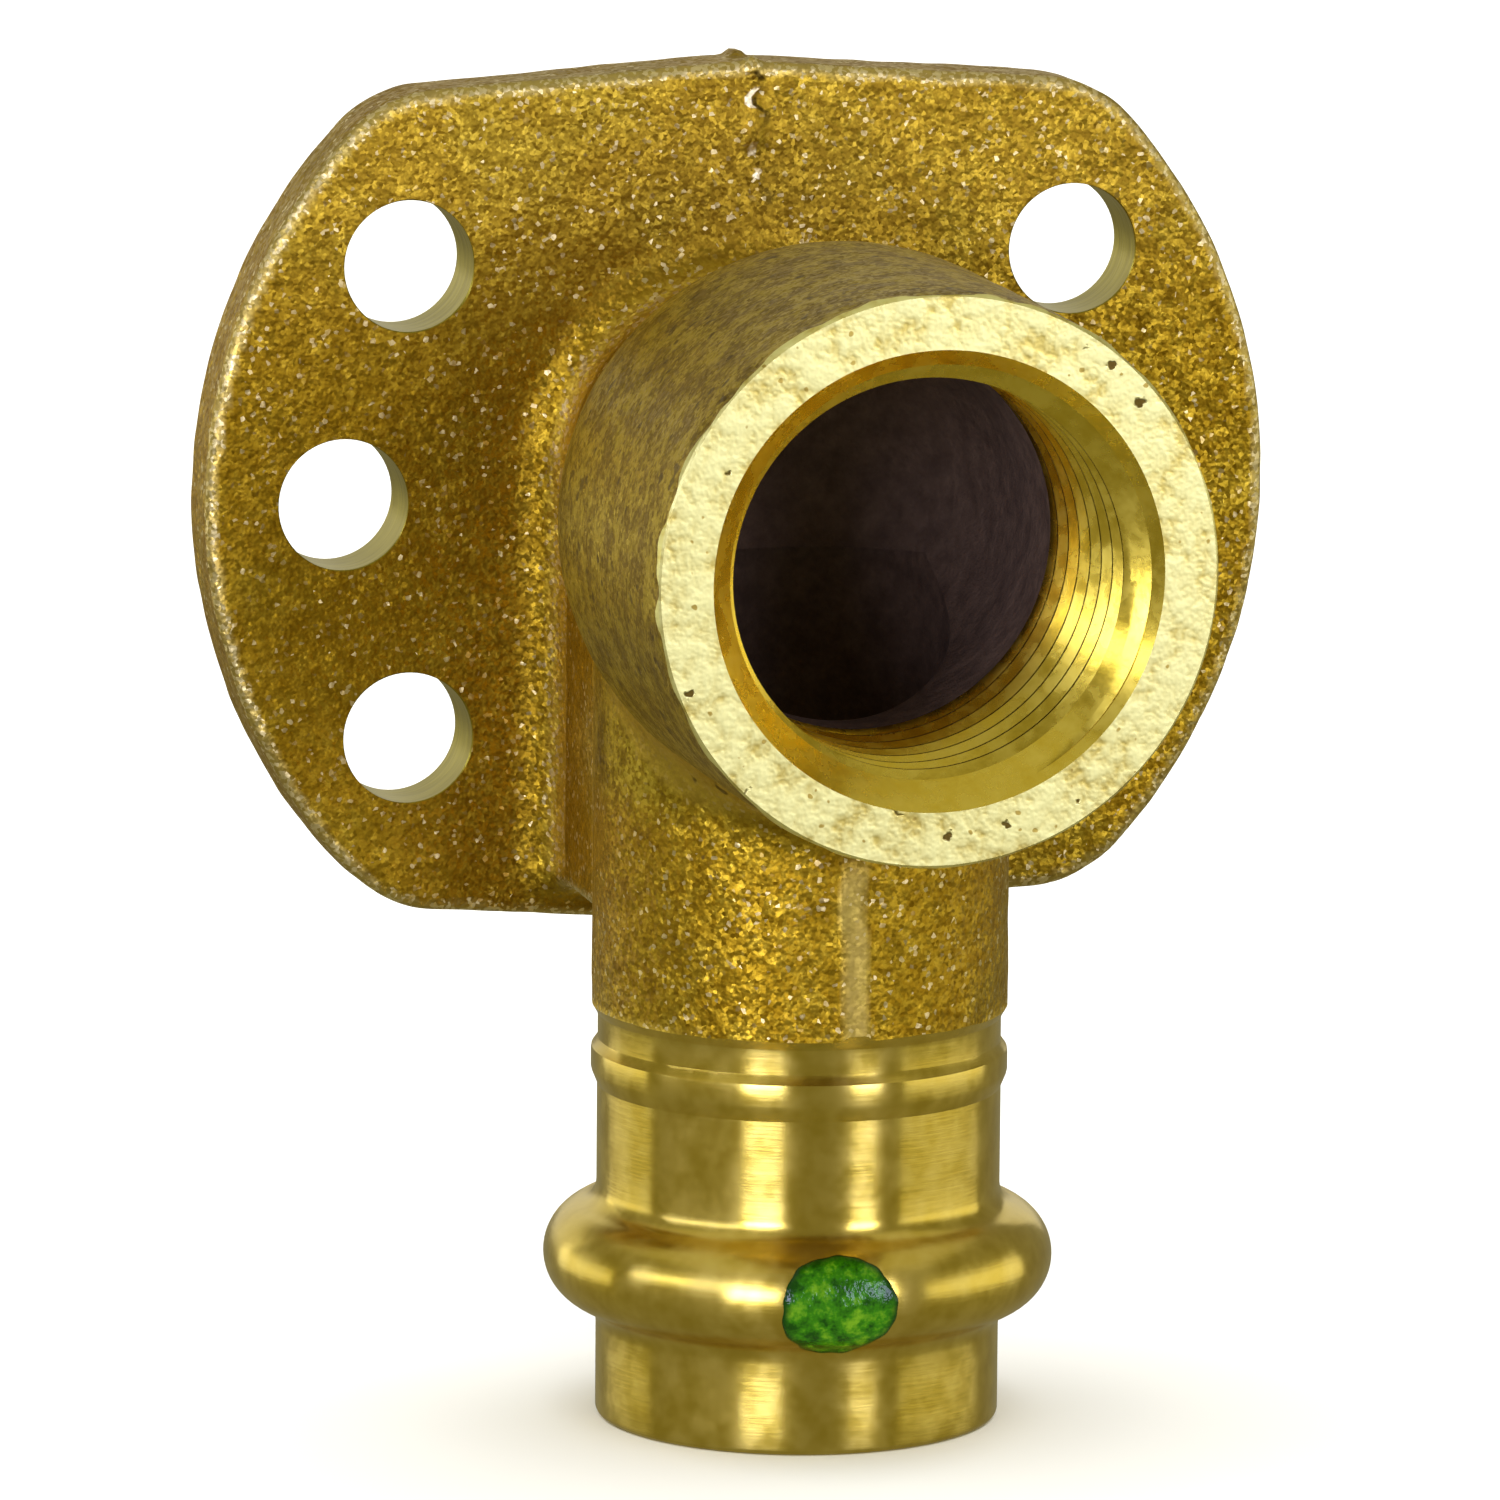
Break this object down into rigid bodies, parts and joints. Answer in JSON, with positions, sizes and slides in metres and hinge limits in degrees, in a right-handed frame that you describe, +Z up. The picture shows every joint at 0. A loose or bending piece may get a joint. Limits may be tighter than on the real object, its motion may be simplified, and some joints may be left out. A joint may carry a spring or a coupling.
{
  "type": "wall plate elbow",
  "caption": "Cast brass wall plate elbow: drilled plate for the wall, female pipe thread facing the room, and a press socket for a tube pointing down.",
  "frame": {"origin": "where the axis of the threaded boss meets the wall plane, on the plate's back face", "axes": "+Y into the wall, -Y along the threaded boss into the room, +Z up, -Z along the press socket"},
  "size_m": [0.053, 0.0394, 0.0641],
  "materials": {
    "cast_brass": "sand-cast, with turned and faced surfaces",
    "seal_rubber": "smooth moulded rubber",
    "paint_mark": "glossy paint film"
  },
  "bodies": {
    "root": {"elbow_body": "cast_brass", "seal_ring": "seal_rubber"}
  },
  "joints": []
}
